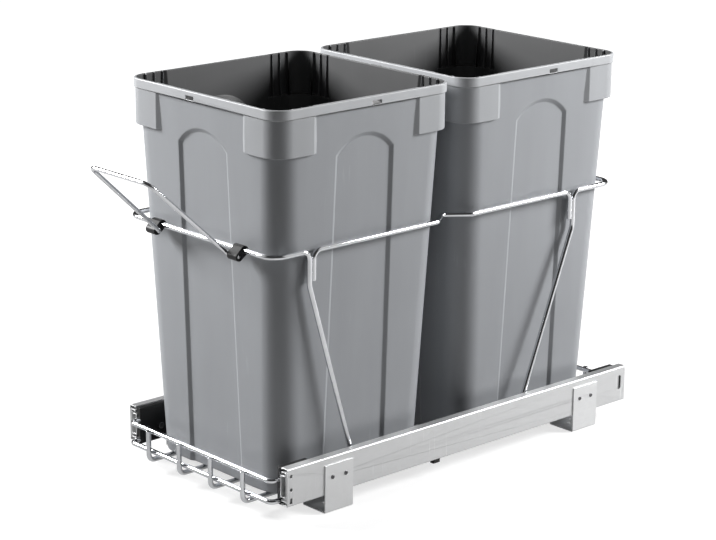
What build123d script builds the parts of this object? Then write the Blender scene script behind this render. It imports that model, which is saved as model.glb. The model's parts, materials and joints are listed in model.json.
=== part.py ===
from build123d import *
import math
import os

os.makedirs("parts", exist_ok=True)

# Pull-out bin unit for a base cabinet.  X runs across the unit, the handle is on
# the -Y side, Z is up.  The origin lies on the cabinet floor, midway between the
# four floor screws.  All sizes are millimetres.

# ---------------------------------------------------------------- slides
slide_length = 559.0        # outer member, end to end
slide_height = 45.0         # outer member, across its two flanges
slide_thickness = 12.7      # outer face to the drawer member's inner face
slide_spread = 288.8        # across the outer faces of the two slides
slide_floor_gap = 21.0      # cabinet floor to the underside of the slides
sheet = 1.2                 # wall of all three members
outer_depth = 11.0          # depth of the outer member's channel
lip = 1.1                   # turned edge that keeps the balls in their race
drawer_lip = 0.9
outer_ball = 3.4            # ball diameter, outer to middle member
inner_ball = 3.0            # ball diameter, middle to drawer member
race_gap = 0.1              # ball to race, each side
cage_sheet = 0.6
cage_gap = 0.3              # ball cage to its neighbours
cage_hole_gap = 0.05        # ball to the edge of its hole
cage_length = 220.0
ball_count = 5              # balls in a row
cage_end = 14.0             # end balls from the cage's ends
bend_radius = 2.0           # outside bend of the outer member
member_setback = 7.5        # rear end of the moving members short of the outer one
end_hole_setback = 5.0      # end holes from the front end
end_hole_radius = 2.0
upper_hole_height = 13.5    # end holes above and below the slide's middle
lower_hole_height = -2.5
end_slot_height = -16.0
end_slot_length = 7.0
rear_slot_setback = 10.0
rear_slot_height = 2.5
rear_slot_length = 18.0
rear_slot_width = 6.0
bumper_gap = 0.3            # closed drawer to its rear bumper
bumper_height = 24.0
bumper_depth = 8.8
pad_length = 11.5
pad_width = 7.0
pad_height = 5.0
pad_setback = 47.6          # rubber pad ahead of mid-length
lever_thickness = 3.0
lever_length = 46.0
lever_height = 5.0
lever_eye = 4.4
lever_tip = 7.0
lever_setback = 60.0        # lever's pivot ahead of mid-length
lever_pin_radius = 2.0
lever_pin_gap = 0.05
lever_side_gap = 0.5

# ---------------------------------------------------------------- feet
bracket_sheet = 1.6
bracket_width = 42.0
bracket_height = 57.0
bracket_reach = 40.0        # foot, from the outer face inwards
bracket_bend = 2.4          # outside bend
bracket_setback = 75.0      # middle of each foot from the slide's end
bracket_corner = 3.0        # rounding of the foot's free corners
floor_hole_radius = 2.75
floor_hole_inset = 24.0     # floor screw from the bracket's outer face
rivet_spacing = 20.0
rivet_height = 42.0
rivet_radius = 1.6
rivet_head_radius = 2.6
rivet_head_height = 1.0
rivet_head_edge = 0.4

# ---------------------------------------------------------------- wire work
wire = 6.0                  # wire diameter of frame and tray
weld_gap = 0.05             # between wires that are welded side by side
tray_side_gap = 0.2         # rim wires to the drawer members
tray_past_front = 10.5      # tray's front run beyond the slides
tray_short_rear = 15.5      # tray's rear run short of the slides' rear end
hoop_height = 304.0
hoop_inside_front = 3.0     # hoop's front run behind the tray's
hoop_inside_rear = 7.0      # hoop's rear run ahead of the tray's
hoop_corner = 18.0
frame_bend = 10.0
knee_bend = 20.0
strut_front_inset = 52.0    # front strut behind the hoop's front run
strut_front_drop = 39.0     # from the hoop down to where the strut starts to lean
strut_front_lean = 64.0
strut_rear_inset = 69.0
strut_rear_drop = 44.0
strut_rear_lean = 80.0
strut_foot_length = 30.0
strut_foot_bend = 14.0
lap_length = 34.0           # turned-down end of a side wire beside the strut
notch_front_half = 29.0     # notch's front start ahead of the middle between the bins
notch_rear_half = 26.0
notch_tip_shift = 2.0
notch_depth = 20.5
notch_bend = 7.0
tray_corner = 7.0
rim_upper = 50.0
rim_lower = 25.0
floor_wire_height = 15.0
floor_wire_spacing = 57.5
floor_wire_count = 4
floor_wire_bend = 8.0
upright_end = 2.0           # ends of the floor wires above the upper rim's middle
divider_bend = 8.0
clamp_length = 40.0
clamp_bottom = 20.5
clamp_top = 65.0
clamp_thickness = 7.4
clamp_edge = 1.5
clamp_gap = 0.1
clamp_setback = 1.0         # clamp inside the drawer member's end
screw_radius = 2.0
screw_head_radius = 3.8
screw_head_height = 1.6
screw_head_edge = 0.6
screw_spacing = 20.0

# ---------------------------------------------------------------- handle
handle_wire = 5.0
handle_reach = 136.0
handle_tilt = 42.5          # above level, as it hangs on its stop
grip_half = 53.0
handle_half = 60.0          # foot of each arm, from the middle
handle_bend = 4.5
grip_bend = 11.0
pin_gap = 0.05
pin_drop = 6.0              # pivot below the hoop wire
pin_ahead = 7.2             # pivot in front of the hoop wire
pin_end_inset = 1.0
clip_length = 16.0
clip_wall = 2.6
clip_play = 0.5             # arm's bend to the clip's face

# ---------------------------------------------------------------- bins
bins_apart = 18.0           # between the two rims
rim_past_side = 3.5         # rims beyond the hoop's side wires
rim_past_rear = 4.0         # rear bin's rim beyond the hoop's rear run
rim_inside_front = 2.0      # front bin's rim behind the hoop's front run
bin_rim_corner = 22.0
bin_rim_height = 11.3
bin_height = 446.7
bin_seat_gap = 0.3
bin_draw = 18.0             # each side leans in by this much from mouth to floor
rim_overhang = 2.7          # rim beyond the side under it
bin_corner = 30.0
bin_wall = 2.2
bin_floor = 3.0
bin_base_edge = 2.0
bin_top_edge = 1.5
block_inset = 0.6           # raised corner blocks behind the rim
block_height = 42.2
block_corner = 24.0
block_width = 60.0          # edge of each block from the rim's side
block_end_run = 6.0         # sloped end of each block, along the side
block_end_depth = 3.3       # and towards the middle of the bin
block_rib = 1.6
block_rib_start = 10.0      # first rib from the block's edge
block_rib_spacing = 12.0
block_rib_count = 3
arch_half_top = 43.0
arch_half_bottom = 48.0
arch_drop = 59.7            # bin's top down to where the arch springs
arch_rise = 20.0
arch_depth = 3.0
arch_draft = 57.0
rim_slot_length = 13.0
rim_slot_height = 4.5
rim_slot_drop = 5.5         # slot's top below the rim's top
rim_slot_shift_front = -16.0
rim_slot_shift_side = 13.0

# ---------------------------------------------------------------- derived places
slide_face = slide_spread / 2
slide_middle = slide_floor_gap + slide_height / 2
drawer_face = slide_face - slide_thickness
half_slide = slide_length / 2
bracket_spacing = slide_length - 2 * bracket_setback
ball_spacing = (cage_length - 2 * cage_end) / (ball_count - 1)
outer_race = slide_height / 2 - sheet
middle_half = outer_race - outer_ball - 2 * race_gap
middle_race = middle_half - sheet
drawer_half = middle_race - inner_ball - 2 * race_gap
outer_cage_back = sheet + cage_gap
middle_back = outer_cage_back + cage_sheet + cage_gap
inner_cage_back = middle_back + sheet + cage_gap
drawer_edge = inner_cage_back + cage_sheet + cage_gap
middle_edge = outer_depth - cage_gap
outer_cage_edge = outer_depth - sheet - cage_gap
inner_cage_edge = middle_edge - sheet - cage_gap
outer_ball_depth = (middle_back + outer_depth) / 2
inner_ball_depth = (drawer_edge + middle_edge) / 2
outer_ball_height = outer_race - race_gap - outer_ball / 2
inner_ball_height = middle_race - race_gap - inner_ball / 2
member_length = slide_length - member_setback
member_rear = member_length - half_slide
wire_radius = wire / 2
weld_spacing = wire + weld_gap
tray_front = half_slide + tray_past_front
tray_rear = half_slide - tray_short_rear
hoop_half_width = drawer_face - wire_radius - tray_side_gap
hoop_front = tray_front - hoop_inside_front
hoop_rear = tray_rear - hoop_inside_rear
strut_front_top = hoop_front - strut_front_inset
strut_rear_top = hoop_rear - strut_rear_inset
bin_bottom = floor_wire_height + wire_radius + bin_seat_gap
bin_neck = bin_height - bin_rim_height
bin_taper = bin_draw / bin_neck
rim_half_across = hoop_half_width + rim_past_side
rim_half_along = (hoop_front - rim_inside_front + hoop_rear + rim_past_rear - bins_apart) / 4
front_bin_y = -hoop_front + rim_inside_front + rim_half_along
rear_bin_y = front_bin_y + 2 * rim_half_along + bins_apart
between_bins = (front_bin_y + rear_bin_y) / 2
pin_y = -hoop_front - pin_ahead
pin_z = hoop_height - pin_drop
clip_start = handle_half + handle_bend + clip_play
slide_section = Plane.XZ.offset(half_slide)


def bent_wire(points, bends, radius, close=False):
    """Round wire along straight runs joined by tangent bends."""
    with BuildPart() as rod:
        with BuildLine() as route:
            FilletPolyline(*points, radius=bends, close=close)
        with BuildSketch(Plane(origin=route.line @ 0, z_dir=route.line % 0)):
            Circle(radius)
        sweep()
    length = sum(edge.length for edge in route.edges())
    share = rod.part.volume / (math.pi * radius * radius * length)
    print("wire of", round(length), "mm, volume over section x length", round(share, 4))
    return rod.part


def both_ways(points):
    """The points, then their mirror images in reverse, for a wire across the unit."""
    return points + [(-x, y, z) for x, y, z in reversed(points)]


def save(piece, name):
    piece.part.label = name
    export_step(piece.part, "parts/" + name + ".step")


def save_both_sides(piece, name):
    save(piece, name + "_right")
    with BuildPart() as twin:
        mirror(piece.part, about=Plane.YZ)
    save(twin, name + "_left")


# ================================================================ slides
# Slide sections are drawn by depth from the slide's outer face and by height above
# and below its middle.
def web_strip(back, thickness, half):
    with Locations((slide_face - back - thickness / 2, slide_middle)):
        Rectangle(thickness, 2 * half)


def flange_strips(back, edge, low, high):
    for side in (1, -1):
        with Locations((slide_face - (back + edge) / 2, slide_middle + side * (low + high) / 2)):
            Rectangle(edge - back, high - low)


# Outer member: a channel that opens inwards, riveted to its two foot brackets.
with BuildPart() as outer_member:
    with BuildSketch(slide_section) as outer_profile:
        with Locations((slide_face - outer_depth / 2, slide_middle)):
            Rectangle(outer_depth, slide_height)
        fillet(outer_profile.vertices().group_by(Axis.X)[-1], bend_radius)
        with Locations((slide_face - outer_depth / 2, slide_middle)):
            Rectangle(outer_depth - 2 * sheet, 2 * outer_race, mode=Mode.SUBTRACT)
        with Locations((slide_face - outer_depth + sheet / 2, slide_middle)):
            Rectangle(sheet, 2 * (outer_race - lip), mode=Mode.SUBTRACT)
    extrude(amount=-slide_length)
    with BuildSketch(Plane.YZ.offset(slide_face)):
        with Locations(
            (end_hole_setback - half_slide, slide_middle + upper_hole_height),
            (end_hole_setback - half_slide, slide_middle + lower_hole_height),
        ):
            Circle(end_hole_radius)
        with Locations((end_hole_setback - half_slide, slide_middle + end_slot_height)):
            SlotOverall(end_slot_length, 2 * end_hole_radius, rotation=90)
        with Locations((half_slide - rear_slot_setback, slide_middle + rear_slot_height)):
            SlotOverall(rear_slot_length, rear_slot_width, rotation=90)
        with Locations((-bracket_spacing / 2, rivet_height), (bracket_spacing / 2, rivet_height)):
            with GridLocations(rivet_spacing, 0, 2, 1):
                Circle(rivet_radius)
    extrude(amount=-sheet, mode=Mode.SUBTRACT)
save_both_sides(outer_member, "outer_member")

# Middle member: races on its outside for the outer balls, inside for the inner ones.
with BuildPart() as middle_member:
    with BuildSketch(slide_section):
        web_strip(middle_back, sheet, middle_half + lip)
        flange_strips(middle_back, middle_edge, middle_race, middle_half)
        flange_strips(middle_edge - sheet, middle_edge, middle_race - lip, middle_race)
    extrude(amount=-member_length)
save_both_sides(middle_member, "middle_member")

# Drawer member: a channel that opens outwards and carries the tray.
clamp_middles = (
    -half_slide + clamp_setback + clamp_length / 2,
    member_rear - clamp_setback - clamp_length / 2,
)
screw_height = (rim_upper + rim_lower) / 2
with BuildPart() as drawer_member:
    with BuildSketch(slide_section):
        web_strip(slide_thickness - sheet, sheet, drawer_half)
        flange_strips(drawer_edge, slide_thickness, drawer_half - sheet, drawer_half)
        flange_strips(drawer_edge, drawer_edge + sheet, drawer_half, drawer_half + drawer_lip)
    extrude(amount=-member_length)
    with BuildSketch(Plane.YZ.offset(drawer_face)):
        for middle in clamp_middles:
            with Locations((middle, screw_height)):
                with GridLocations(screw_spacing, 0, 2, 1):
                    Circle(screw_radius)
        with Locations((-lever_setback, slide_middle)):
            Circle(lever_pin_radius)
    extrude(amount=sheet, mode=Mode.SUBTRACT)
save_both_sides(drawer_member, "drawer_member")


def ball_cage(back, edge, height, depth, ball):
    """Sheet strip round the inside of a slide, with a hole for every ball."""
    with BuildPart() as cage:
        with BuildSketch(Plane.XZ.offset(cage_length / 2)):
            web_strip(back, cage_sheet, height + cage_sheet / 2)
            flange_strips(back, edge, height - cage_sheet / 2, height + cage_sheet / 2)
        extrude(amount=-cage_length)
        with BuildSketch(Plane.XY.offset(slide_middle)):
            with Locations((slide_face - depth, 0)):
                with GridLocations(0, ball_spacing, 1, ball_count):
                    Circle(ball / 2 + cage_hole_gap)
        extrude(amount=slide_height / 2, both=True, mode=Mode.SUBTRACT)
    return cage


def ball_rows(height, depth, ball):
    with BuildPart() as rows:
        for side in (1, -1):
            with Locations((slide_face - depth, 0, slide_middle + side * height)):
                with GridLocations(0, ball_spacing, 1, ball_count):
                    Sphere(ball / 2)
    return rows


outer_cage = ball_cage(outer_cage_back, outer_cage_edge, outer_ball_height, outer_ball_depth, outer_ball)
save_both_sides(outer_cage, "outer_ball_cage")
inner_cage = ball_cage(inner_cage_back, inner_cage_edge, inner_ball_height, inner_ball_depth, inner_ball)
save_both_sides(inner_cage, "inner_ball_cage")
outer_balls = ball_rows(outer_ball_height, outer_ball_depth, outer_ball)
save_both_sides(outer_balls, "outer_balls")
inner_balls = ball_rows(inner_ball_height, inner_ball_depth, inner_ball)
save_both_sides(inner_balls, "inner_balls")

# Rear bumper: a rubber block on the outer member's web, behind the closed drawer.
with BuildPart() as rear_bumper:
    with BuildSketch(Plane.YZ.offset(slide_face - sheet)):
        with Locations(((member_rear + bumper_gap + half_slide) / 2, slide_middle)):
            Rectangle(half_slide - member_rear - bumper_gap, bumper_height)
    extrude(amount=-bumper_depth)
save_both_sides(rear_bumper, "rear_bumper")

# Rubber pad under the outer member.
with BuildPart() as rail_pad:
    with BuildSketch(Plane.XY.offset(slide_floor_gap)):
        with Locations((slide_face - bend_radius - pad_width / 2, -pad_setback)):
            Rectangle(pad_width, pad_length)
    extrude(amount=-pad_height)
    fillet(rail_pad.edges().filter_by(Axis.Z), bend_radius)
save_both_sides(rail_pad, "rail_pad")

# Release lever: swings on a pin inside the drawer member's channel.
lever_back = drawer_face + sheet + lever_side_gap
with BuildPart() as release_lever:
    with BuildSketch(Plane.YZ.offset(lever_back)):
        with Locations((-lever_setback, slide_middle)):
            Circle(lever_eye)
        with Locations((-lever_setback - lever_length / 2, slide_middle)):
            Rectangle(lever_length, lever_height)
        with Locations((-lever_setback - lever_length, slide_middle)):
            RectangleRounded(lever_tip, lever_tip + lever_height / 2, lever_height / 4)
        with Locations((-lever_setback, slide_middle)):
            Circle(lever_pin_radius + lever_pin_gap, mode=Mode.SUBTRACT)
    extrude(amount=lever_thickness)
save_both_sides(release_lever, "release_lever")

with BuildPart() as lever_pin:
    with BuildSketch(Plane.YZ.offset(drawer_face)):
        with Locations((-lever_setback, slide_middle)):
            Circle(lever_pin_radius)
    extrude(amount=sheet + 2 * lever_side_gap + lever_thickness)
save_both_sides(lever_pin, "lever_pin")

# ================================================================ feet
# Foot bracket: one bent strip, riveted outside the slide, with a floor screw hole.
bracket_face = slide_face + bracket_sheet
floor_hole_x = bracket_face - floor_hole_inset


def foot_bracket(middle):
    with BuildPart() as bracket:
        with BuildSketch(Plane.XZ.offset(-middle)) as strip:
            with Locations((bracket_face, 0)):
                Rectangle(bracket_sheet, bracket_height, align=(Align.MAX, Align.MIN))
                Rectangle(bracket_reach, bracket_sheet, align=(Align.MAX, Align.MIN))
            outside = strip.vertices().sort_by(Axis.Y).group_by(Axis.Y)[0].sort_by(Axis.X)[-1]
            inside = strip.vertices().sort_by_distance((slide_face, bracket_sheet))[0]
            fillet(outside, bracket_bend)
            fillet(inside, bracket_bend - bracket_sheet)
        extrude(amount=bracket_width / 2, both=True)
        free_corners = bracket.edges().filter_by(Axis.Z).group_by(Axis.X)[0]
        fillet(free_corners, bracket_corner)
        with BuildSketch(Plane.YZ.offset(bracket_face)):
            with Locations((middle, rivet_height)):
                with GridLocations(rivet_spacing, 0, 2, 1):
                    Circle(rivet_radius)
        extrude(amount=-bracket_sheet, mode=Mode.SUBTRACT)
        with BuildSketch(Plane.XY):
            with Locations((floor_hole_x, middle)):
                Circle(floor_hole_radius)
        extrude(amount=bracket_sheet, mode=Mode.SUBTRACT)
    return bracket


save_both_sides(foot_bracket(-bracket_spacing / 2), "foot_bracket_front")
save_both_sides(foot_bracket(bracket_spacing / 2), "foot_bracket_rear")

with BuildPart() as bracket_rivets:
    with BuildSketch(Plane.YZ.offset(bracket_face)):
        with Locations((-bracket_spacing / 2, rivet_height), (bracket_spacing / 2, rivet_height)):
            with GridLocations(rivet_spacing, 0, 2, 1):
                Circle(rivet_head_radius)
    extrude(amount=rivet_head_height)
    chamfer(bracket_rivets.edges().filter_by(GeomType.CIRCLE).group_by(Axis.X)[-1], rivet_head_edge)
    with BuildSketch(Plane.YZ.offset(bracket_face)):
        with Locations((-bracket_spacing / 2, rivet_height), (bracket_spacing / 2, rivet_height)):
            with GridLocations(rivet_spacing, 0, 2, 1):
                Circle(rivet_radius)
    extrude(amount=-bracket_sheet - sheet)
    mirror(about=Plane.YZ)
save(bracket_rivets, "bracket_rivets")

# ================================================================ wire frame
foot_height = rim_upper + weld_spacing
front_half = [
    (hoop_half_width, strut_front_lean + strut_foot_length - strut_front_top, foot_height),
    (hoop_half_width, strut_front_lean - strut_front_top, foot_height),
    (hoop_half_width, -strut_front_top, hoop_height - strut_front_drop),
    (hoop_half_width, -strut_front_top, hoop_height),
    (hoop_half_width, -hoop_front, hoop_height),
]
half_bends = [strut_foot_bend, knee_bend, frame_bend, hoop_corner]
frame_bends = half_bends + half_bends[::-1]
with BuildPart() as front_frame:
    add(bent_wire(both_ways(front_half), frame_bends, wire_radius))
save(front_frame, "front_frame_wire")

rear_half = [
    (hoop_half_width, strut_rear_top - strut_rear_lean - strut_foot_length, foot_height),
    (hoop_half_width, strut_rear_top - strut_rear_lean, foot_height),
    (hoop_half_width, strut_rear_top, hoop_height - strut_rear_drop),
    (hoop_half_width, strut_rear_top, hoop_height),
    (hoop_half_width, hoop_rear, hoop_height),
]
with BuildPart() as rear_frame:
    add(bent_wire(both_ways(rear_half), frame_bends, wire_radius))
save(rear_frame, "rear_frame_wire")

# Side wire: closes the hoop between the frames and notches in between the bins.
lap_front = -strut_front_top + weld_spacing
lap_rear = strut_rear_top - weld_spacing
side_route = [
    (hoop_half_width, lap_front, hoop_height - lap_length),
    (hoop_half_width, lap_front, hoop_height),
    (hoop_half_width, between_bins - notch_front_half, hoop_height),
    (hoop_half_width - notch_depth, between_bins - notch_tip_shift, hoop_height),
    (hoop_half_width, between_bins + notch_rear_half, hoop_height),
    (hoop_half_width, lap_rear, hoop_height),
    (hoop_half_width, lap_rear, hoop_height - lap_length),
]
side_bends = [frame_bend, notch_bend, notch_bend, notch_bend, frame_bend]
with BuildPart() as side_wire:
    add(bent_wire(side_route, side_bends, wire_radius))
save_both_sides(side_wire, "side_wire")


# ================================================================ tray
def rim_loop(height, radius):
    corners = [
        (hoop_half_width, -tray_front, height),
        (hoop_half_width, tray_rear, height),
        (-hoop_half_width, tray_rear, height),
        (-hoop_half_width, -tray_front, height),
    ]
    return bent_wire(corners, tray_corner, radius, close=True)


with BuildPart() as upper_rim:
    add(rim_loop(rim_upper, wire_radius))
save(upper_rim, "tray_upper_rim")
with BuildPart() as lower_rim:
    add(rim_loop(rim_lower, wire_radius))
save(lower_rim, "tray_lower_rim")

upright_top = rim_upper + upright_end
with BuildPart() as floor_wires:
    for place in range(floor_wire_count):
        across = (place - (floor_wire_count - 1) / 2) * floor_wire_spacing
        floor_route = [
            (across, -tray_front - weld_spacing, upright_top),
            (across, -tray_front - weld_spacing, floor_wire_height),
            (across, tray_rear + weld_spacing, floor_wire_height),
            (across, tray_rear + weld_spacing, upright_top),
        ]
        add(bent_wire(floor_route, [floor_wire_bend, floor_wire_bend], wire_radius))
save(floor_wires, "tray_floor_wires")

divider_half = [
    (hoop_half_width - weld_spacing, between_bins, upright_top),
    (hoop_half_width - weld_spacing, between_bins, floor_wire_height + weld_spacing),
]
with BuildPart() as divider:
    add(bent_wire(both_ways(divider_half), [divider_bend, divider_bend], wire_radius))
save(divider, "bin_divider_wire")


# Tray clamp: a plastic block screwed to the drawer member over both tray rims.
def tray_clamp(middle):
    with BuildPart() as clamp:
        with BuildSketch(Plane.YZ.offset(drawer_face)):
            with Locations((middle, (clamp_bottom + clamp_top) / 2)):
                Rectangle(clamp_length, clamp_top - clamp_bottom)
        extrude(amount=-clamp_thickness)
        chamfer(clamp.faces().sort_by(Axis.X)[0].edges(), clamp_edge)
        add(rim_loop(rim_upper, wire_radius + clamp_gap), mode=Mode.SUBTRACT)
        add(rim_loop(rim_lower, wire_radius + clamp_gap), mode=Mode.SUBTRACT)
        with BuildSketch(Plane.YZ.offset(drawer_face)):
            with Locations((middle, screw_height)):
                with GridLocations(screw_spacing, 0, 2, 1):
                    Circle(screw_radius)
        extrude(amount=-clamp_thickness, mode=Mode.SUBTRACT)
    return clamp


save_both_sides(tray_clamp(clamp_middles[0]), "tray_clamp_front")
save_both_sides(tray_clamp(clamp_middles[1]), "tray_clamp_rear")

clamp_face = drawer_face - clamp_thickness
with BuildPart() as clamp_screws:
    with BuildSketch(Plane.YZ.offset(clamp_face)):
        for middle in clamp_middles:
            with Locations((middle, screw_height)):
                with GridLocations(screw_spacing, 0, 2, 1):
                    Circle(screw_head_radius)
    extrude(amount=-screw_head_height)
    chamfer(clamp_screws.edges().filter_by(GeomType.CIRCLE).group_by(Axis.X)[0], screw_head_edge)
    with BuildSketch(Plane.YZ.offset(clamp_face)):
        for middle in clamp_middles:
            with Locations((middle, screw_height)):
                with GridLocations(screw_spacing, 0, 2, 1):
                    Circle(screw_radius)
    extrude(amount=clamp_thickness + sheet)
    mirror(about=Plane.YZ)
save(clamp_screws, "clamp_screws")

# ================================================================ handle
with BuildPart() as handle_clip:
    with BuildSketch(Plane.YZ.offset(clip_start)):
        with Locations((-hoop_front, hoop_height)):
            Circle(wire_radius + clip_wall)
        with Locations((pin_y, pin_z)):
            Circle(handle_wire / 2 + clip_wall)
        make_hull()
        with Locations((-hoop_front, hoop_height)):
            Circle(wire_radius + weld_gap, mode=Mode.SUBTRACT)
        with Locations((pin_y, pin_z)):
            Circle(handle_wire / 2 + pin_gap, mode=Mode.SUBTRACT)
    extrude(amount=clip_length)
save_both_sides(handle_clip, "handle_clip")

grip_y = pin_y - handle_reach * math.cos(math.radians(handle_tilt))
grip_z = pin_z + handle_reach * math.sin(math.radians(handle_tilt))
handle_route = [
    (clip_start + clip_length - pin_end_inset, pin_y, pin_z),
    (handle_half, pin_y, pin_z),
    (grip_half, grip_y, grip_z),
]
handle_bends = [handle_bend, grip_bend, grip_bend, handle_bend]
with BuildPart() as handle:
    add(bent_wire(both_ways(handle_route), handle_bends, handle_wire / 2))
save(handle, "pull_handle")

# ================================================================ bins
# Both bins are one moulding, described from its floor up.
def halves(inset):
    """Half width across the unit and half length along it, measured in from the rim."""
    return rim_half_across - inset, rim_half_along - inset


def rounded(inset, radius):
    across, along = halves(inset)
    RectangleRounded(2 * across, 2 * along, radius)


def corner_gap(keep, outer):
    """Outline of the gap between two corners: keep wide each way, and flared at its outer ends."""
    shoulder = outer - block_end_depth
    flare = keep + 2 * block_end_run
    quarter = [(keep, shoulder), (flare, outer + block_end_depth)]
    upper = quarter + [(-x, y) for x, y in reversed(quarter)]
    return upper + [(-x, -y) for x, y in upper]


def corners_only(reach, inset):
    """Keeps the corners of a sketch that lies inset from the rim, from reach short of the rim's sides."""
    across, along = halves(inset)
    corner_across, corner_along = halves(reach)
    Polygon(*corner_gap(corner_across, along), align=None, mode=Mode.SUBTRACT)
    Polygon(*[(y, x) for x, y in corner_gap(corner_along, across)], align=None, mode=Mode.SUBTRACT)


def arch_plane(turn, foot_half):
    """Plane on the tapered outer face that looks along the angle turn."""
    lean = math.atan(bin_taper)
    across = Vector(-math.sin(turn), math.cos(turn), 0)
    outward = Vector(math.cos(turn) * math.cos(lean), math.sin(turn) * math.cos(lean), -math.sin(lean))
    foot = Vector(foot_half * math.cos(turn), foot_half * math.sin(turn), 0)
    return Plane(origin=foot, x_dir=across, z_dir=outward)


def arch_panel(face, wider, deeper, past):
    """Arched panel through a face: sides with draft, from past outside to deeper inside."""
    draft_step = past * math.tan(math.radians(arch_draft))
    half_top = arch_half_top + wider + draft_step
    half_bottom = arch_half_bottom + wider + draft_step
    shoulder = bin_height - arch_drop
    foot = -bin_base_edge - (past + deeper) * math.tan(math.radians(arch_draft))
    with BuildPart() as panel:
        with BuildSketch(face.offset(past)):
            with BuildLine():
                Polyline(
                    (-half_top, shoulder),
                    (-half_bottom, foot),
                    (half_bottom, foot),
                    (half_top, shoulder),
                )
                ThreePointArc(
                    (half_top, shoulder),
                    (0, shoulder + arch_rise + wider + draft_step),
                    (-half_top, shoulder),
                )
            make_face()
        extrude(amount=-past - deeper, taper=arch_draft)
    return panel.part


floor_inset = rim_overhang + bin_draw
foot_across, foot_along = halves(floor_inset)
arch_wall = bin_wall / math.cos(math.radians(arch_draft))
arch_faces = [
    arch_plane(math.radians(90 * turn), foot_along if turn % 2 else foot_across) for turn in range(4)
]
pocket_floor = bin_neck - block_height + bin_wall
with BuildPart() as cavity:
    with BuildSketch(Plane.XY.offset(bin_floor)):
        rounded(floor_inset - bin_taper * bin_floor + bin_wall, bin_corner - bin_wall)
    with BuildSketch(Plane.XY.offset(bin_height)):
        rounded(floor_inset - bin_taper * bin_height + bin_wall, bin_corner - bin_wall)
    loft(ruled=True)
    for face in arch_faces:
        add(arch_panel(face, arch_wall, arch_depth + bin_wall, 0), mode=Mode.SUBTRACT)
    with BuildSketch(Plane.XY.offset(pocket_floor)):
        rounded(block_inset + bin_wall, block_corner - bin_wall)
        corners_only(block_width - bin_wall, block_inset + bin_wall)
        for rib in range(block_rib_count):
            across, along = halves(block_width - block_rib_start - rib * block_rib_spacing)
            for side in (1, -1):
                with Locations((side * across, 0)):
                    Rectangle(block_rib, 2 * rim_half_along, mode=Mode.SUBTRACT)
                with Locations((0, side * along)):
                    Rectangle(2 * rim_half_across, block_rib, mode=Mode.SUBTRACT)
    extrude(amount=bin_height - pocket_floor)

with BuildPart() as bin_shell:
    with BuildSketch(Plane.XY):
        rounded(floor_inset, bin_corner)
    with BuildSketch(Plane.XY.offset(bin_neck)):
        rounded(rim_overhang, bin_corner)
    loft(ruled=True)
    chamfer(bin_shell.faces().sort_by(Axis.Z)[0].edges(), bin_base_edge)
    for face in arch_faces:
        add(arch_panel(face, 0, arch_depth, 1), mode=Mode.SUBTRACT)
    with BuildSketch(Plane.XY.offset(bin_neck - block_height)):
        rounded(block_inset, block_corner)
        corners_only(block_width, block_inset)
    extrude(amount=block_height)
    with BuildSketch(Plane.XY.offset(bin_neck)):
        rounded(0, bin_rim_corner)
    extrude(amount=bin_rim_height)
    fillet(bin_shell.faces().sort_by(Axis.Z)[-1].edges(), bin_top_edge)
    add(cavity.part, mode=Mode.SUBTRACT)
    slot_middle = bin_height - rim_slot_drop - rim_slot_height / 2
    with BuildSketch(Plane.XZ):
        with Locations((rim_slot_shift_front, slot_middle)):
            Rectangle(rim_slot_length, rim_slot_height)
    extrude(amount=2 * rim_half_along, mode=Mode.SUBTRACT)
    with BuildSketch(Plane.YZ):
        with Locations((rim_slot_shift_side, slot_middle)):
            Rectangle(rim_slot_length, rim_slot_height)
    extrude(amount=2 * rim_half_across, mode=Mode.SUBTRACT)

for name, middle in (("front_bin", front_bin_y), ("rear_bin", rear_bin_y)):
    with BuildPart() as placed_bin:
        with Locations((0, middle, bin_bottom)):
            add(bin_shell.part)
    save(placed_bin, name)
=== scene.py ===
"""Finishes for a pull-out waste unit: two moulded bins in a chromed wire carriage on ball-bearing slides."""

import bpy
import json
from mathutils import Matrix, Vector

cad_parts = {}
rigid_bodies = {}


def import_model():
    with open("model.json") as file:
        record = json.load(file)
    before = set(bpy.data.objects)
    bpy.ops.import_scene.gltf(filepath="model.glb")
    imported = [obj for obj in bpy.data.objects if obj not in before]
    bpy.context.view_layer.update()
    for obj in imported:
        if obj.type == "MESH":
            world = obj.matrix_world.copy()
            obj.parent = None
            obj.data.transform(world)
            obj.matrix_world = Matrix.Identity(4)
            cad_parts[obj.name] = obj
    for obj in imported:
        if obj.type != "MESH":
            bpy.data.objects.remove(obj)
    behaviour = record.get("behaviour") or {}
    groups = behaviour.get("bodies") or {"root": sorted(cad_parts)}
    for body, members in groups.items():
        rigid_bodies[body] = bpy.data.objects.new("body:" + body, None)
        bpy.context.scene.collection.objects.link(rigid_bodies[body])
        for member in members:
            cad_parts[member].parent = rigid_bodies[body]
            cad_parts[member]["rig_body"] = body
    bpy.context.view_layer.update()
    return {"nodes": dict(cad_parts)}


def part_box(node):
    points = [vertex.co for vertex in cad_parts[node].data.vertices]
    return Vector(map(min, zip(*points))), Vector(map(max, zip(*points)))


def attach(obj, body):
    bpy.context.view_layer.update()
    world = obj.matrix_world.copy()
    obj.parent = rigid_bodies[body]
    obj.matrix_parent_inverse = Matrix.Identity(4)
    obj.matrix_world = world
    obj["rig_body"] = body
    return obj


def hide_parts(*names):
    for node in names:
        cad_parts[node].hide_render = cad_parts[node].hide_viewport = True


bl_info = {
    "name": "Pull-out waste unit",
    "version": (1, 0, 0),
    "blender": (4, 5, 0),
    "location": "3D View > Sidebar > Waste unit",
    "description": "Finishes the two bins, the wire carriage, the slides and the feet",
    "category": "Object",
}

import json
import math

import bmesh
import bpy
from bpy.props import FloatProperty, FloatVectorProperty, IntProperty, PointerProperty
from mathutils import Matrix, Vector

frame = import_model()
SIDES = ("right", "left")

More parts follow.
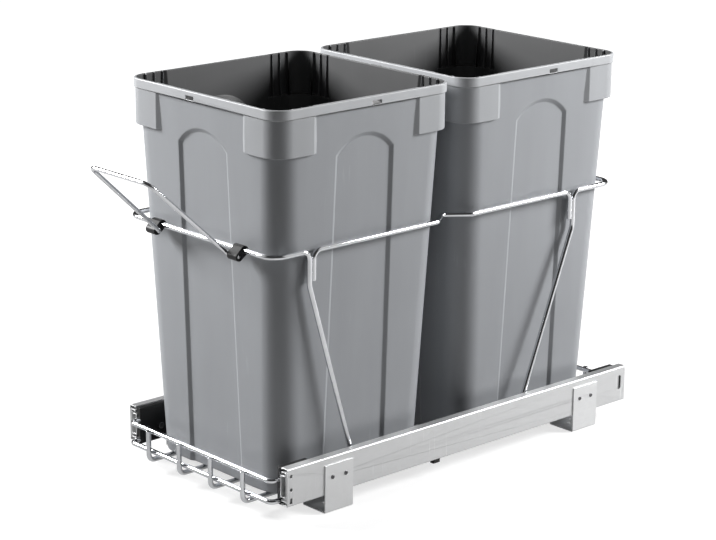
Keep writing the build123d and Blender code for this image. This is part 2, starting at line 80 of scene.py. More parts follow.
# Places and sizes in metres
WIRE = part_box("bin_divider_wire")[1].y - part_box("bin_divider_wire")[0].y
OBJECT_MIDDLE = Vector((0.0, 0.0, 0.22))
FRONT_LAMP = Vector((-1.6, -1.25, 1.25))
SIDE_LAMP = Vector((1.05, 1.35, 1.05))
CAMERA_PLACE = Vector((1.91969, -1.80008, 0.96369))

# The bins' rim, the corner blocks under it, and the blocks' width from the corner
RIM_HEIGHT = 0.0125
BLOCK_HEIGHT = 0.0422
BLOCK_WIDTH = 0.06
# Finishes of the bins: the outside grey, a darker copy of it as painted shade inside, and paler copies as
# painted light on the rim and corner blocks
BIN_FINISHES = ("bin outside", "bin inside painted shade", "bin rim painted light", "bin block painted light")

# Spot welds: the y of those on the struts' feet, and how far below the side wires those at their tops are
STRUT_FOOT_WELDS = (-0.147, -0.161, 0.084, 0.098)
LAP_WELD_DROPS = (0.014, 0.026)

# The slides' sheet, the radius of a rivet's shank and its distance from the middle of its foot
SLIDE_SHEET = 0.0012
RIVET_SHANK = 0.0016
RIVET_SHIFT = 0.01


# ---------------------------------------------------------------- sizes and colours
def colour(name, description, default):
    return FloatVectorProperty(
        name=name, description=description, subtype="COLOR", size=3, min=0, max=1, default=default
    )


def length(name, description, default):
    return FloatProperty(
        name=name, description=description, unit="LENGTH", subtype="DISTANCE", min=0, precision=5,
        default=default,
    )


def amount(name, description, default, unit="NONE"):
    return FloatProperty(name=name, description=description, unit=unit, min=0, default=default)


class BinLook(bpy.types.PropertyGroup):
    outside: colour("Outside", "Moulded grey on the outer faces", (0.298, 0.308, 0.325))
    # Inside: the bin's own grey darkened to near black, painted shade on the inner walls and floor
    inside: colour("Inside", "Dark grey on the inner walls", (0.07, 0.071, 0.073))
    # Rim and corner blocks: paler copies of the outside grey, painted light where the lip and blocks catch
    # the lamps
    rim: colour("Rim", "Grey of the rim", (0.455, 0.465, 0.48))
    block: colour("Corner blocks", "Grey of the raised corner blocks", (0.355, 0.365, 0.38))
    edge: length("Edge rounding", "Rounding of the moulded edges", 0.0009)
    grain: length("Grain", "Width of one grain of the moulded surface", 0.0009)


class WireLook(bpy.types.PropertyGroup):
    plating: colour("Plating", "Bright plating on all wires", (0.76, 0.77, 0.79))
    end_edge: length("Wire end rounding", "Rounding where a wire is cut", 0.0006)
    bead_half: length("Weld half length", "Half length of a spot weld along the wires", 0.0034)
    bead_rise: length("Weld half width", "Half width of a spot weld", 0.0017)


class SteelLook(bpy.types.PropertyGroup):
    slide: colour("Slides", "Zinc plating of the slide members", (0.8, 0.805, 0.81))
    bracket: colour("Feet", "Plating of the foot brackets", (0.86, 0.865, 0.87))
    rivet: colour("Rivets", "Darker steel of the rivets", (0.18, 0.18, 0.185))
    edge: length("Sheet edge", "Rounding of the cut sheet edges", 0.0002)
    head_steps: IntProperty(
        name="Rivet steps", description="Steps round a rivet head", min=12, max=64, default=28
    )


class BlackLook(bpy.types.PropertyGroup):
    plastic: colour("Plastic", "Black plastic of clips, clamps and levers", (0.016, 0.016, 0.017))
    rubber: colour("Rubber", "Black rubber of bumpers and pads", (0.024, 0.023, 0.022))
    edge: length("Edge rounding", "Rounding of the small black mouldings", 0.0005)


class StageLook(bpy.types.PropertyGroup):
    floor: colour("Floor", "Pale floor under the unit", (0.38, 0.38, 0.38))
    # Painted reflection: the floor's glow as only metal sees it, at its brightest
    floor_painted_reflection: amount("Mirrored floor", "White floor as metal mirrors it", 0.39)
    glow: amount("Lamp glow", "Soft edge round the lamps as metal mirrors them", 0.6)
    room: amount("Room light", "Light from all round", 0.05)
    key: amount("Key lamp", "Power of the large lamp in front", 83, "POWER")
    fill: amount("Side lamp", "Power of the large lamp on the right", 51, "POWER")


# ---------------------------------------------------------------- node helpers
def node(tree, kind, **settings):
    made = tree.nodes.new(kind)
    for key, value in settings.items():
        setattr(made, key, value)
    return made


def feed(tree, target, source):
    """Links a socket, or sets a value, on the target socket."""
    if isinstance(source, bpy.types.NodeSocket):
        tree.links.new(source, target)
    else:
        target.default_value = source


def maths(tree, operation, first, second, third=None):
    made = node(tree, "ShaderNodeMath", operation=operation)
    feed(tree, made.inputs[0], first)
    feed(tree, made.inputs[1], second)
    if third is not None:
        feed(tree, made.inputs[2], third)
    return made.outputs[0]


def spread(tree, value, low, high, to_low=0.0, to_high=1.0):
    """Maps the range from low to high onto the second range, and holds its ends beyond that."""
    made = node(tree, "ShaderNodeMapRange", clamp=True)
    for place, source in enumerate((value, low, high, to_low, to_high)):
        feed(tree, made.inputs[place], source)
    return made.outputs[0]


def noise(tree, vector, scale, detail=3.0, roughness=0.55):
    made = node(tree, "ShaderNodeTexNoise")
    feed(tree, made.inputs["Vector"], vector)
    feed(tree, made.inputs["Scale"], scale)
    made.inputs["Detail"].default_value = detail
    made.inputs["Roughness"].default_value = roughness
    return made.outputs["Fac"]


def stretched(tree, vector, scale):
    made = node(tree, "ShaderNodeMapping", vector_type="POINT")
    feed(tree, made.inputs["Vector"], vector)
    made.inputs["Scale"].default_value = scale
    return made.outputs["Vector"]


def mixed(tree, share, first, second):
    made = node(tree, "ShaderNodeMix", data_type="RGBA", blend_type="MIX")
    feed(tree, made.inputs[0], share)
    feed(tree, made.inputs[6], first)
    feed(tree, made.inputs[7], second)
    return made.outputs[2]


def whole(rgb, gain=1.0):
    """The colour, gain times as bright, with full alpha."""
    return tuple(min(part * gain, 1) for part in rgb) + (1,)


def new_group(name, inputs, outputs):
    tree = bpy.data.node_groups.new(name, "ShaderNodeTree")
    for label, default in inputs:
        socket = tree.interface.new_socket(label, in_out="INPUT", socket_type="NodeSocketFloat")
        socket.default_value = default
    for label in outputs:
        tree.interface.new_socket(label, in_out="OUTPUT", socket_type="NodeSocketFloat")
    return tree, node(tree, "NodeGroupInput").outputs, node(tree, "NodeGroupOutput").inputs


def object_place(tree):
    return node(tree, "ShaderNodeTexCoord").outputs["Object"]


def part_along(tree, vector, direction):
    """How far the vector reaches in that direction."""
    made = node(tree, "ShaderNodeVectorMath", operation="DOT_PRODUCT")
    feed(tree, made.inputs[0], vector)
    made.inputs[1].default_value = direction
    return made.outputs["Value"]


def moulded_grain():
    """Fine pebbled surface of moulded plastic, with slow waves of tone from the flow in the mould."""
    inputs = (("Grains per metre", 900.0), ("Wave", 1.0))
    tree, given, out = new_group("Moulded grain", inputs, ("Height", "Tone"))
    place = object_place(tree)
    pebbles = node(tree, "ShaderNodeTexVoronoi", feature="SMOOTH_F1")
    feed(tree, pebbles.inputs["Vector"], place)
    feed(tree, pebbles.inputs["Scale"], given[0])
    fine = noise(tree, place, scale=maths(tree, "MULTIPLY", given[0], 1.7), detail=2.0)
    feed(tree, out[0], maths(tree, "ADD", pebbles.outputs["Distance"], fine))
    drawn = noise(tree, stretched(tree, place, (9.0, 9.0, 1.3)), scale=2.4)
    broad = noise(tree, place, scale=5.5, detail=2.0)
    waves = maths(tree, "MULTIPLY_ADD", drawn, 0.6, maths(tree, "MULTIPLY", broad, 0.4))
    feed(tree, out[1], maths(tree, "MULTIPLY", spread(tree, waves, 0.3, 0.7), given[1]))
    return tree


def handling_marks():
    """Thin scuffs that run mostly up and down, in patches."""
    tree, given, out = new_group("Handling marks", (("Amount", 0.5),), ("Mask",))
    place = object_place(tree)
    lines = noise(tree, stretched(tree, place, (260.0, 260.0, 22.0)), scale=1.0, detail=2.0, roughness=0.4)
    slanted = node(tree, "ShaderNodeMapping", vector_type="POINT")
    feed(tree, slanted.inputs["Vector"], place)
    slanted.inputs["Rotation"].default_value = (0.5, 0.35, 0.2)
    slanted.inputs["Scale"].default_value = (330.0, 330.0, 16.0)
    others = noise(tree, slanted.outputs["Vector"], scale=1.0, detail=2.0, roughness=0.4)
    marks = maths(tree, "MAXIMUM", spread(tree, lines, 0.67, 0.74), spread(tree, others, 0.69, 0.75))
    patches = spread(tree, noise(tree, place, scale=11.0, detail=2.0), 0.5, 0.68)
    feed(tree, out[0], maths(tree, "MULTIPLY", maths(tree, "MULTIPLY", marks, patches), given[0]))
    return tree


def settled_dust():
    """Dust on faces that look up."""
    tree, given, out = new_group("Settled dust", (("Amount", 0.2),), ("Mask",))
    normal = node(tree, "ShaderNodeNewGeometry").outputs["Normal"]
    apart = node(tree, "ShaderNodeSeparateXYZ")
    feed(tree, apart.inputs[0], normal)
    up = spread(tree, apart.outputs[2], 0.35, 1.0)
    clumps = spread(tree, noise(tree, object_place(tree), scale=70.0, detail=4.0), 0.36, 0.72)
    feed(tree, out[0], maths(tree, "MULTIPLY", maths(tree, "MULTIPLY", up, clumps), given[0]))
    return tree


def rolled_sheet():
    """Rolling lines along the slide and the cloudy crystals of zinc plating."""
    tree, given, out = new_group("Rolled sheet", (("Lines", 1.0), ("Crystals", 1.0)), ("Height", "Tone"))
    place = object_place(tree)
    lines = noise(tree, stretched(tree, place, (1300.0, 9.0, 1300.0)), scale=1.0, detail=2.0)
    crystals = node(tree, "ShaderNodeTexVoronoi", feature="F1")
    feed(tree, crystals.inputs["Vector"], place)
    crystals.inputs["Scale"].default_value = 170.0
    shade = node(tree, "ShaderNodeSeparateColor")
    feed(tree, shade.inputs[0], crystals.outputs["Color"])
    cloud = noise(tree, place, scale=26.0)
    clouded = maths(tree, "MULTIPLY_ADD", shade.outputs[0], 0.35, cloud)
    crystal_tone = maths(tree, "MULTIPLY", clouded, given[1])
    feed(tree, out[0], maths(tree, "MULTIPLY", lines, given[0]))
    feed(tree, out[1], maths(tree, "MULTIPLY_ADD", lines, 0.25, crystal_tone))
    return tree


def effect(tree, name, maker, **values):
    """Puts the node group of that name into the tree, made on first use, with those input values."""
    made = node(tree, "ShaderNodeGroup", node_tree=bpy.data.node_groups.get(name) or maker())
    for label, value in values.items():
        made.inputs[label.replace("_", " ")].default_value = value
    return made.outputs


# ---------------------------------------------------------------- finishes
def blank_finish(name):
    made = bpy.data.materials.new(name)
    made.use_nodes = True
    tree = made.node_tree
    tree.nodes.clear()
    shader = node(tree, "ShaderNodeBsdfPrincipled")
    feed(tree, node(tree, "ShaderNodeOutputMaterial").inputs["Surface"], shader.outputs["BSDF"])
    return made, tree, shader


def relief(tree, shader, height, strength, distance):
    bump = node(tree, "ShaderNodeBump")
    bump.inputs["Strength"].default_value = strength
    bump.inputs["Distance"].default_value = distance
    feed(tree, bump.inputs["Height"], height)
    feed(tree, shader.inputs["Normal"], bump.outputs["Normal"])


def moulded(name, tint, grain, rough, dust, marks, depth=0.00009, gloss=0.5):
    """Plastic: grain, flow waves, scuffs and dust over one colour."""
    made, tree, shader = blank_finish(name)
    grains = effect(tree, "Moulded grain", moulded_grain, Grains_per_metre=1 / grain, Wave=1.0)
    scuffs = effect(tree, "Handling marks", handling_marks, Amount=marks)
    dusty = effect(tree, "Settled dust", settled_dust, Amount=dust)
    base = mixed(tree, grains["Tone"], whole(tint, 0.93), whole(tint, 1.06))
    rubbed = mixed(tree, scuffs["Mask"], base, whole(tint, 1.3))
    dust_colour = (0.42, 0.4, 0.37, 1)
    feed(tree, shader.inputs["Base Color"], mixed(tree, dusty["Mask"], rubbed, dust_colour))
    matt = maths(tree, "MULTIPLY_ADD", grains["Tone"], 0.07, rough - 0.03)
    dusty_matt = maths(tree, "MULTIPLY_ADD", dusty["Mask"], 0.3, matt)
    feed(tree, shader.inputs["Roughness"], dusty_matt)
    shader.inputs["Specular IOR Level"].default_value = gloss
    relief(tree, shader, grains["Height"], strength=0.35, distance=depth)
    return made


def plated_wire(name, tint, rough, ripple):
    """Bright plating with fine ripples, pits and a faint haze."""
    made, tree, shader = blank_finish(name)
    place = object_place(tree)
    haze = spread(tree, noise(tree, place, scale=38.0, detail=4.0), 0.42, 0.72)
    pits = spread(tree, noise(tree, place, scale=900.0, detail=1.0), 0.72, 0.8)
    dull = maths(tree, "MAXIMUM", maths(tree, "MULTIPLY", haze, 0.5), pits)
    feed(tree, shader.inputs["Base Color"], mixed(tree, dull, whole(tint), whole(tint, 0.8)))
    feed(tree, shader.inputs["Roughness"], maths(tree, "MULTIPLY_ADD", haze, 0.06, rough))
    shader.inputs["Metallic"].default_value = 1.0
    relief(tree, shader, noise(tree, place, scale=240.0, detail=2.0), strength=ripple, distance=0.0002)
    return made


def plated_sheet(name, tint, rough, metal, lines, crystals):
    """Zinc plated sheet: rolling lines, crystals and scuffs."""
    made, tree, shader = blank_finish(name)
    sheet = effect(tree, "Rolled sheet", rolled_sheet, Lines=lines, Crystals=crystals)
    scuffs = effect(tree, "Handling marks", handling_marks, Amount=0.5)
    tone = spread(tree, sheet["Tone"], 0.3, 0.95)
    base = mixed(tree, tone, whole(tint, 0.9), whole(tint, 1.08))
    feed(tree, shader.inputs["Base Color"], mixed(tree, scuffs["Mask"], base, whole(tint, 1.25)))
    feed(tree, shader.inputs["Roughness"], maths(tree, "MULTIPLY_ADD", tone, -0.1, rough))
    shader.inputs["Metallic"].default_value = metal
    relief(tree, shader, sheet["Height"], strength=0.2, distance=0.00006)
    return made


def small_steel(name, tint, rough):
    """Turned or pressed steel with fine pits."""
    made, tree, shader = blank_finish(name)
    place = object_place(tree)
    pits = noise(tree, place, scale=1500.0)
    stain = noise(tree, place, scale=160.0)
    feed(tree, shader.inputs["Base Color"], mixed(tree, stain, whole(tint, 0.8), whole(tint, 1.15)))
    feed(tree, shader.inputs["Roughness"], maths(tree, "MULTIPLY_ADD", stain, 0.18, rough))
    shader.inputs["Metallic"].default_value = 1.0
    relief(tree, shader, pits, strength=0.2, distance=0.00003)
    return made


def finish(name):
    """The material of that name, made on first use from the scene's colours."""
    found = bpy.data.materials.get(name)
    if found:
        return found
    scene = bpy.context.scene
    bins, wires, steel, black = scene.bin_look, scene.wire_look, scene.steel_look, scene.black_look
    dulled = [0.8 * part for part in wires.plating]
    makers = {
        "bin outside": lambda: moulded(name, bins.outside, bins.grain, rough=0.42, dust=0.05, marks=0.35),
        # The rim and corner block finishes are paler copies of the bin grey, painted light
        "bin rim painted light": lambda: moulded(name, bins.rim, bins.grain, rough=0.4, dust=0.06, marks=0.5),
        "bin block painted light": lambda: moulded(name, bins.block, bins.grain, rough=0.42, dust=0.05, marks=0.4),
        # The inside finish is painted shade: the same plastic as outside, darkened
        "bin inside painted shade": lambda: moulded(name, bins.inside, bins.grain, rough=0.5, dust=0.1, marks=0.6),
        "bright wire": lambda: plated_wire(name, wires.plating, rough=0.045, ripple=0.1),
        "weld metal": lambda: plated_wire(name, dulled, rough=0.24, ripple=0.5),
        "slide zinc": lambda: plated_sheet(
            name, steel.slide, rough=0.42, metal=0.65, lines=1.0, crystals=0.25
        ),
        "foot plating": lambda: plated_sheet(
            name, steel.bracket, rough=0.4, metal=0.4, lines=0.7, crystals=0.3
        ),
        "rivet steel": lambda: small_steel(name, steel.rivet, rough=0.4),
        "cage steel": lambda: small_steel(name, (0.42, 0.4, 0.34), rough=0.35),
        "ball steel": lambda: small_steel(name, (0.62, 0.62, 0.63), rough=0.06),
        # The screws' near-black is painted shade where they sit against the clamps
        "screw steel painted shade": lambda: small_steel(name, (0.14, 0.14, 0.145), rough=0.35),
        "black plastic": lambda: moulded(
            name, black.plastic, grain=0.0006, rough=0.4, dust=0.03, marks=0.4, depth=0.00005, gloss=0.25
        ),
        "black rubber": lambda: moulded(
            name, black.rubber, grain=0.0008, rough=0.72, dust=0.08, marks=0.2, depth=0.0001, gloss=0.3
        ),
    }
    return makers[name]()


# ---------------------------------------------------------------- mesh helpers
def new_piece(mesh_name, bm, body, finishes, sharp_angle=35):
    """Makes a piece of the finished bmesh, at the origin, and lets it ride on its body."""
    mesh = bpy.data.meshes.new(mesh_name)
    bm.to_mesh(mesh)
    bm.free()
    mesh.shade_smooth()
    mesh.set_sharp_from_angle(angle=math.radians(sharp_angle))
    for name in finishes:
        mesh.materials.append(finish(name))
    piece = bpy.data.objects.new(mesh_name, mesh)
    bpy.context.scene.collection.objects.link(piece)
    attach(piece, body)
    return piece


def body_of_node(name):
    return frame["nodes"][name]["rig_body"]


def weld_short_steps(bm, edge):
    """On undersides, welds the outer end of a step that is too short to round to its inner end."""
    looks_down = -0.9999
    steep = 1.0  # radians
    middle = sum((vert.co.xy for vert in bm.verts), Vector((0, 0))) / len(bm.verts)
    targets = {}
    for step in bm.edges:
        inner, outer = sorted(step.verts, key=lambda vert: (vert.co.xy - middle).length)
        underneath = any(face.normal.z < looks_down for face in step.link_faces)
        if underneath and step.calc_length() < edge and step.calc_face_angle(0) > steep:
            targets[outer] = inner
    bmesh.ops.weld_verts(bm, targetmap=targets)


def edged_copy(node_name, edge, finishes, sharper_than=24, choose=None, short_steps=False):
    """Puts a copy of a node in its place, with its sharp edges rounded.

    choose gives each face the place of its finish in the list. short_steps welds steps too short to round.
    """
    bm = bmesh.new()
    bm.from_mesh(frame["nodes"][node_name].data)
    bmesh.ops.remove_doubles(bm, verts=bm.verts, dist=2e-6)
    # Joins the faces that are flat to one another, where they aren't square to an axis
    slanted = [e for e in bm.edges if any(max(map(abs, f.normal)) < 0.999 for f in e.link_faces)]
    bmesh.ops.dissolve_limit(bm, angle_limit=math.radians(0.3), verts=[], edges=slanted, delimit=set())
    if short_steps:
        weld_short_steps(bm, edge)
    limit = math.radians(sharper_than)
    sharp = [e for e in bm.edges if e.is_manifold and e.calc_face_angle() > limit]
    bmesh.ops.bevel(
        bm, geom=sharp, offset=edge, offset_type="OFFSET", affect="EDGES", segments=2, profile=0.5,
        material=-1, clamp_overlap=False, loop_slide=True,
    )
    if choose:
        for face in bm.faces:
            face.material_index = choose(face)
    piece = new_piece(node_name + "_finished", bm, body_of_node(node_name), finishes)
    fair = piece.modifiers.new("fair faces", "WEIGHTED_NORMAL")
    fair.keep_sharp = True
    fair.weight = 90
    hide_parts(node_name)


def dress(node_name, finish_name):
    """Gives a node that keeps its own mesh a material."""
    slots = frame["nodes"][node_name].data.materials
    slots.clear()
    slots.append(finish(finish_name))


# ---------------------------------------------------------------- operators
class WASTEUNIT_OT_stage(bpy.types.Operator):
    """Pale floor, soft lamps and the camera"""

    bl_idname = "wasteunit.stage"
    bl_label = "Floor, lamps and camera"

    def execute(self, context):
        look = context.scene.stage_look
        self.floor(look)
        self.room(context.scene, look)
        self.lamp("front lamp", FRONT_LAMP, size=0.9, power=look.key)
        self.lamp("side lamp", SIDE_LAMP, size=0.8, power=look.fill)
        self.camera(context.scene)
        return {"FINISHED"}

    def floor(self, look):
        bm = bmesh.new()
        below = Matrix.Translation((0, 0, -0.0003))
        bmesh.ops.create_circle(bm, cap_ends=True, radius=30, segments=96, matrix=below)
        mesh = bpy.data.meshes.new("floor")
        bm.to_mesh(mesh)
        bm.free()
        made, tree, shader = blank_finish("pale floor")
        path = node(tree, "ShaderNodeLightPath")
        tone = spread(tree, noise(tree, object_place(tree), scale=3.0), 0.3, 0.7, 0.985, 1.0)
        feed(tree, shader.inputs["Base Color"], mixed(tree, tone, whole(look.floor, 0.98), whole(look.floor)))
        shader.inputs["Roughness"].default_value = 0.9
        shader.inputs["Specular IOR Level"].default_value = 0.1
        shader.inputs["Emission Color"].default_value = (1, 1, 1, 1)
        # The floor takes shadows near the unit and is plain white farther off
        near, far, near_white = 0.45, 1.6, 0.7
        away = node(tree, "ShaderNodeVectorMath", operation="LENGTH")
        feed(tree, away.inputs[0], object_place(tree))
        lift = spread(tree, away.outputs["Value"], near, far, near_white)
        # Painted reflection: the floor glows for glossy rays only, dimmer on the left and in front than on
        # the right and behind, so metal shows a lit side
        dark_end, bright_end, darkest = -0.42, 0.14, 0.14
        to_right_rear = part_along(tree, object_place(tree), (0.7, 0.7, 0))
        painted_reflection_side = spread(tree, to_right_rear, dark_end, bright_end, darkest, look.floor_painted_reflection)
        floor_painted_reflection = maths(tree, "MULTIPLY", path.outputs["Is Glossy Ray"], painted_reflection_side)
        shown = maths(tree, "MAXIMUM", path.outputs["Is Camera Ray"], floor_painted_reflection)
        feed(tree, shader.inputs["Emission Strength"], maths(tree, "MULTIPLY", shown, lift))
        mesh.materials.append(made)
        floor = bpy.data.objects.new("floor", mesh)
        bpy.context.scene.collection.objects.link(floor)

    def room(self, scene, look):
        scene.world = scene.world or bpy.data.worlds.new("room")
        scene.world.use_nodes = True
        tree = scene.world.node_tree
        tree.nodes.clear()
        path = node(tree, "ShaderNodeLightPath")
        white = maths(tree, "MAXIMUM", path.outputs["Is Camera Ray"], path.outputs["Is Transmission Ray"])
        direction = node(tree, "ShaderNodeTexCoord").outputs["Generated"]
        lamps = [(place - OBJECT_MIDDLE).normalized() for place in (FRONT_LAMP, SIDE_LAMP)]
        near_lamp = maths(tree, "MAXIMUM", *(part_along(tree, direction, lamp) for lamp in lamps))
        glow_edge, glow_full = 0.78, 0.95
        glow = spread(tree, near_lamp, glow_edge, glow_full, to_high=look.glow)
        glossy = maths(tree, "MULTIPLY", path.outputs["Is Glossy Ray"], glow)
        light = node(tree, "ShaderNodeBackground")
        light.inputs["Color"].default_value = (1, 1, 1, 1)
        level = maths(tree, "MULTIPLY_ADD", white, 1.0 - look.room, maths(tree, "ADD", glossy, look.room))
        feed(tree, light.inputs["Strength"], level)
        feed(tree, node(tree, "ShaderNodeOutputWorld").inputs["Surface"], light.outputs[0])

    def lamp(self, name, place, size, power):
        data = bpy.data.lights.new(name, "AREA")
        data.shape = "DISK"
        data.size = size
        data.energy = power
        lamp = bpy.data.objects.new(name, data)
        aim = OBJECT_MIDDLE - place
        lamp.matrix_world = Matrix.Translation(place) @ aim.to_track_quat("-Z", "Y").to_matrix().to_4x4()
        bpy.context.scene.collection.objects.link(lamp)

    def camera(self, scene):
        azimuth, elevation, roll = (math.radians(angle) for angle in (47.453, 16.337, 0.583))
        data = bpy.data.cameras.new("camera")
        data.sensor_width = 36
        data.lens = 114.07
        data.shift_x = -0.0065
        data.shift_y = 0.0208
        data.clip_end = 100
        level = math.cos(elevation)
        back = Vector((math.sin(azimuth) * level, -math.cos(azimuth) * level, math.sin(elevation)))
        right = Vector((math.cos(azimuth), math.sin(azimuth), 0))
        turned = Matrix.Rotation(roll, 3, back)
        right = turned @ right
        upward = back.cross(right)
        camera = bpy.data.objects.new("camera", data)
        turn = Matrix((right, upward, back)).transposed().to_4x4()
        camera.matrix_world = Matrix.Translation(CAMERA_PLACE) @ turn
        scene.collection.objects.link(camera)
        scene.camera = camera


class WASTEUNIT_OT_bins(bpy.types.Operator):
    """Both moulded bins with rounded edges; rims and corner blocks paler as painted light, inner walls darker
    as painted shade
    """

    bl_idname = "wasteunit.bins"
    bl_label = "Bins"

    def execute(self, context):
        for name in ("front_bin", "rear_bin"):
            low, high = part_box(name)
            middle = (low + high) / 2

            def choose(face, low=low, middle=middle, top=high.z):
                centre = face.calc_center_median()
                lowest = min(vert.co.z for vert in face.verts)
                outward = Vector((centre.x - middle.x, centre.y - middle.y, 0))
                looks_inward = face.normal.dot(outward) < -1e-4
                below_rim_top = face.normal.z > 0.9 and centre.z < top - 0.002
                # Faces that look inward, and the inner floor, get the painted shade of the inside finish
                if looks_inward or below_rim_top:
                    return BIN_FINISHES.index("bin inside painted shade")
                # The rim and the corner blocks get the paler finishes, painted light
                if lowest > top - RIM_HEIGHT:
                    return BIN_FINISHES.index("bin rim painted light")
                by_corner = min(abs(outward.x), abs(outward.y)) > middle.x - low.x - BLOCK_WIDTH
                by_block = by_corner and lowest > top - RIM_HEIGHT - BLOCK_HEIGHT
                return BIN_FINISHES.index("bin block painted light" if by_block else "bin outside")

            edge = context.scene.bin_look.edge
            edged_copy(name, edge, BIN_FINISHES, choose=choose, short_steps=True)
        return {"FINISHED"}


class WASTEUNIT_OT_frame_wires(bpy.types.Operator):
    """Bright bent wires of the carriage and the tray"""

    bl_idname = "wasteunit.frame_wires"
    bl_label = "Carriage and tray wires"

    def execute(self, context):
        frame_wires = ("front_frame_wire", "rear_frame_wire", "side_wire_right", "side_wire_left")
        for name in frame_wires + ("tray_floor_wires", "bin_divider_wire"):
            edged_copy(name, context.scene.wire_look.end_edge, ("bright wire",), sharper_than=55)
        for name in ("tray_upper_rim", "tray_lower_rim"):
            dress(name, "bright wire")
        return {"FINISHED"}


class WASTEUNIT_OT_welds(bpy.types.Operator):
    """Spot welds where the wires cross or lie side by side"""

    bl_idname = "wasteunit.welds"
    bl_label = "Spot welds"

    def execute(self, context):
        look = context.scene.wire_look
        half = WIRE / 2
        rim_low, rim_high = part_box("tray_upper_rim")
        rim_z = (rim_low.z + rim_high.z) / 2
        low_z = sum(corner.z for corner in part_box("tray_lower_rim")) / 2
        side = rim_high.x - half
        divider_low, divider_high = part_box("bin_divider_wire")
        divider_y = (divider_low.y + divider_high.y) / 2
        floor_low, floor_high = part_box("tray_floor_wires")
        pitch = (floor_high.x - floor_low.x - WIRE) / 3
        floor_wires = [floor_low.x + half + place * pitch for place in range(4)]
        along_x = Vector((1, 0, 0))
        along_y = Vector((0, 1, 0))
        along_z = Vector((0, 0, 1))
        spots = []
        for across in floor_wires:
            for height in (rim_z, low_z):
                spots.append(((across, rim_low.y, height), along_x))
                spots.append(((across, rim_high.y, height), along_x))
            spots.append(((across, divider_y, floor_low.z + WIRE), along_x))
        side_low, side_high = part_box("side_wire_right")
        top = side_high.z - half
        for sign in (1, -1):
            for height in (rim_z, low_z):
                spots.append(((sign * (side - half), divider_y, height), along_z))
            for y in STRUT_FOOT_WELDS:
                spots.append(((sign * side, y, rim_high.z), along_y))
            for drop in LAP_WELD_DROPS:
                spots.append(((sign * side, side_low.y, top - drop), along_z))
                spots.append(((sign * side, side_high.y, top - drop), along_z))
        bm = bmesh.new()
        for place, along in spots:
            self.bead(bm, Vector(place), along, look)
        new_piece("spot_welds", bm, "drawer", ("weld metal",), sharp_angle=60)
        return {"FINISHED"}

    def bead(self, bm, place, along, look):
        turn = along.to_track_quat("X", "Z").to_matrix().to_4x4()
        size = Matrix.Diagonal((look.bead_half, look.bead_rise, look.bead_rise, 1))
        set_down = Matrix.Translation(place) @ turn @ size
        made = bmesh.ops.create_uvsphere(bm, u_segments=12, v_segments=8, radius=1, matrix=set_down)
        uneven = 0.08
        for vert in made["verts"]:
            wave = math.sin(vert.co.x * 2600 + vert.co.z * 1900) * math.cos(vert.co.y * 2300)
            vert.co += (vert.co - place) * uneven * wave


class WASTEUNIT_OT_handle(bpy.types.Operator):
    """Bent wire handle and its two black clips"""

    bl_idname = "wasteunit.handle"
    bl_label = "Handle and clips"

    def execute(self, context):
        edged_copy("pull_handle", context.scene.wire_look.end_edge, ("bright wire",), sharper_than=55)
        for side in SIDES:
            edged_copy("handle_clip_" + side, context.scene.black_look.edge, ("black plastic",))
        return {"FINISHED"}


class WASTEUNIT_OT_clamps(bpy.types.Operator):
    """Black blocks that hold the tray to the slides, and their screws"""

    bl_idname = "wasteunit.clamps"
    bl_label = "Tray clamps"

    def execute(self, context):
        for end in ("front", "rear"):
            for side in SIDES:
                edged_copy(f"tray_clamp_{end}_{side}", context.scene.black_look.edge, ("black plastic",))
        edged_copy("clamp_screws", context.scene.steel_look.edge, ("screw steel painted shade",))
        return {"FINISHED"}


class WASTEUNIT_OT_slides(bpy.types.Operator):
    """The three members of each slide, with rounded sheet edges"""

    bl_idname = "wasteunit.slides"
    bl_label = "Slide members"

    def execute(self, context):
        for member in ("outer", "middle", "drawer"):
            for side in SIDES:
                edged_copy(f"{member}_member_{side}", context.scene.steel_look.edge, ("slide zinc",))
        return {"FINISHED"}


class WASTEUNIT_OT_balls(bpy.types.Operator):
    """Ball cages and their balls"""

    bl_idname = "wasteunit.balls"
    bl_label = "Balls and cages"

    def execute(self, context):
        for ring in ("outer", "inner"):
            for side in SIDES:
                dress(f"{ring}_ball_cage_{side}", "cage steel")
                dress(f"{ring}_balls_{side}", "ball steel")
        return {"FINISHED"}


class WASTEUNIT_OT_small_parts(bpy.types.Operator):
    """Rubber bumpers and pads, release levers and their pins"""

    bl_idname = "wasteunit.small_parts"
    bl_label = "Bumpers, pads and levers"

    def execute(self, context):
        edge = context.scene.black_look.edge
        for side in SIDES:
            edged_copy("rear_bumper_" + side, edge, ("black rubber",))
            edged_copy("rail_pad_" + side, edge, ("black rubber",))
            edged_copy("release_lever_" + side, edge / 2, ("black plastic",))
            dress("lever_pin_" + side, "rivet steel")
        return {"FINISHED"}


class WASTEUNIT_OT_feet(bpy.types.Operator):
    """Foot brackets with rounded sheet edges"""

    bl_idname = "wasteunit.feet"
    bl_label = "Foot brackets"

    def execute(self, context):
        for end in ("front", "rear"):
            for side in SIDES:
                edged_copy(f"foot_bracket_{end}_{side}", context.scene.steel_look.edge, ("foot plating",))
        return {"FINISHED"}


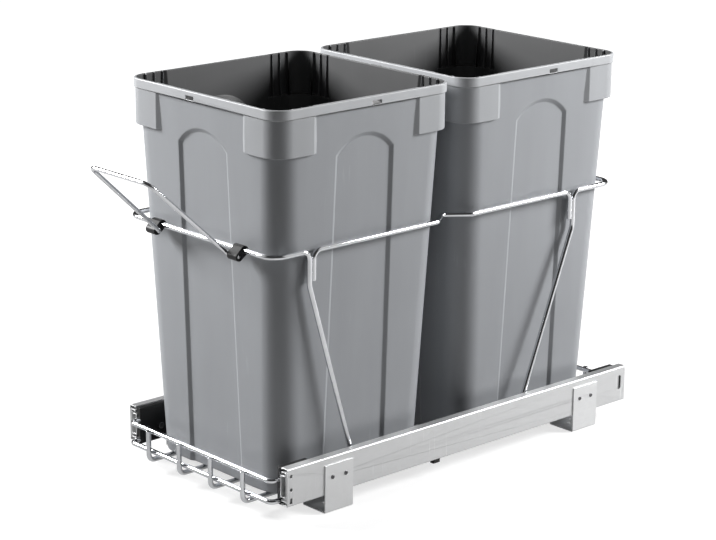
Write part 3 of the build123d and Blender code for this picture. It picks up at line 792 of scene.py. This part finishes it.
class WASTEUNIT_OT_rivets(bpy.types.Operator):
    """Domed rivets with a sunk middle, two in each foot bracket"""

    bl_idname = "wasteunit.rivets"
    bl_label = "Rivets"

    def execute(self, context):
        steps = context.scene.steel_look.head_steps
        low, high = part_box("bracket_rivets")
        height = (low.z + high.z) / 2
        head = (high.z - low.z) / 2
        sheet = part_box("foot_bracket_front_right")[1].x
        rise = high.x - sheet
        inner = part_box("outer_member_right")[1].x - SLIDE_SHEET
        # Along the rivet from inside the slide outwards, and its radius there
        profile = [
            (inner, 0.0), (inner, RIVET_SHANK), (sheet, RIVET_SHANK), (sheet, head),
            (sheet + rise * 0.35, head), (sheet + rise * 0.8, head * 0.82), (sheet + rise, head * 0.6),
            (sheet + rise, head * 0.42), (sheet + rise * 0.8, head * 0.36), (sheet + rise * 0.1, head * 0.3),
            (sheet + rise * 0.05, 0.0),
        ]
        bm = bmesh.new()
        for foot in ("front", "rear"):
            foot_low, foot_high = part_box(f"foot_bracket_{foot}_right")
            middle = (foot_low.y + foot_high.y) / 2
            for shift in (-RIVET_SHIFT, RIVET_SHIFT):
                line = [bm.verts.new((x, middle + shift, height + r)) for x, r in profile]
                edges = [bm.edges.new(pair) for pair in zip(line, line[1:])]
                bmesh.ops.spin(
                    bm, geom=line + edges, cent=(0, middle + shift, height), axis=(1, 0, 0),
                    angle=math.tau, steps=steps, use_merge=True,
                )
        bmesh.ops.remove_doubles(bm, verts=bm.verts, dist=1e-7)
        bmesh.ops.mirror(bm, geom=bm.verts[:] + bm.edges[:] + bm.faces[:], axis="X", merge_dist=-1)
        bmesh.ops.recalc_face_normals(bm, faces=bm.faces)
        rivets = new_piece("rivet_heads", bm, "rails", ("rivet steel",), sharp_angle=40)
        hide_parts("bracket_rivets")
        return {"FINISHED"}


class WASTEUNIT_PT_panel(bpy.types.Panel):
    """Steps and settings of the waste unit"""

    bl_idname = "WASTEUNIT_PT_panel"
    bl_label = "Waste unit"
    bl_space_type = "VIEW_3D"
    bl_region_type = "UI"
    bl_category = "Waste unit"

    def draw(self, context):
        for step in STEPS:
            self.layout.operator(step.bl_idname)
        for holder, group in LOOKS:
            box = self.layout.box()
            box.label(text=holder.replace("_", " ").capitalize())
            for key in group.__annotations__:
                box.prop(getattr(context.scene, holder), key)


LOOKS = (
    ("bin_look", BinLook),
    ("wire_look", WireLook),
    ("steel_look", SteelLook),
    ("black_look", BlackLook),
    ("stage_look", StageLook),
)
STEPS = (
    WASTEUNIT_OT_stage,
    WASTEUNIT_OT_bins,
    WASTEUNIT_OT_frame_wires,
    WASTEUNIT_OT_welds,
    WASTEUNIT_OT_handle,
    WASTEUNIT_OT_clamps,
    WASTEUNIT_OT_slides,
    WASTEUNIT_OT_balls,
    WASTEUNIT_OT_small_parts,
    WASTEUNIT_OT_feet,
    WASTEUNIT_OT_rivets,
)


def register():
    for holder, group in LOOKS:
        bpy.utils.register_class(group)
        setattr(bpy.types.Scene, holder, PointerProperty(type=group))
    for step in STEPS + (WASTEUNIT_PT_panel,):
        bpy.utils.register_class(step)


def unregister():
    for step in reversed(STEPS + (WASTEUNIT_PT_panel,)):
        bpy.utils.unregister_class(step)
    for holder, group in reversed(LOOKS):
        delattr(bpy.types.Scene, holder)
        bpy.utils.unregister_class(group)


def main():
    register()
    bpy.context.scene.view_settings.view_transform = "Standard"
    for step in STEPS:
        family, name = step.bl_idname.split(".")
        getattr(getattr(bpy.ops, family), name)()


if __name__ == "__main__":
    main()
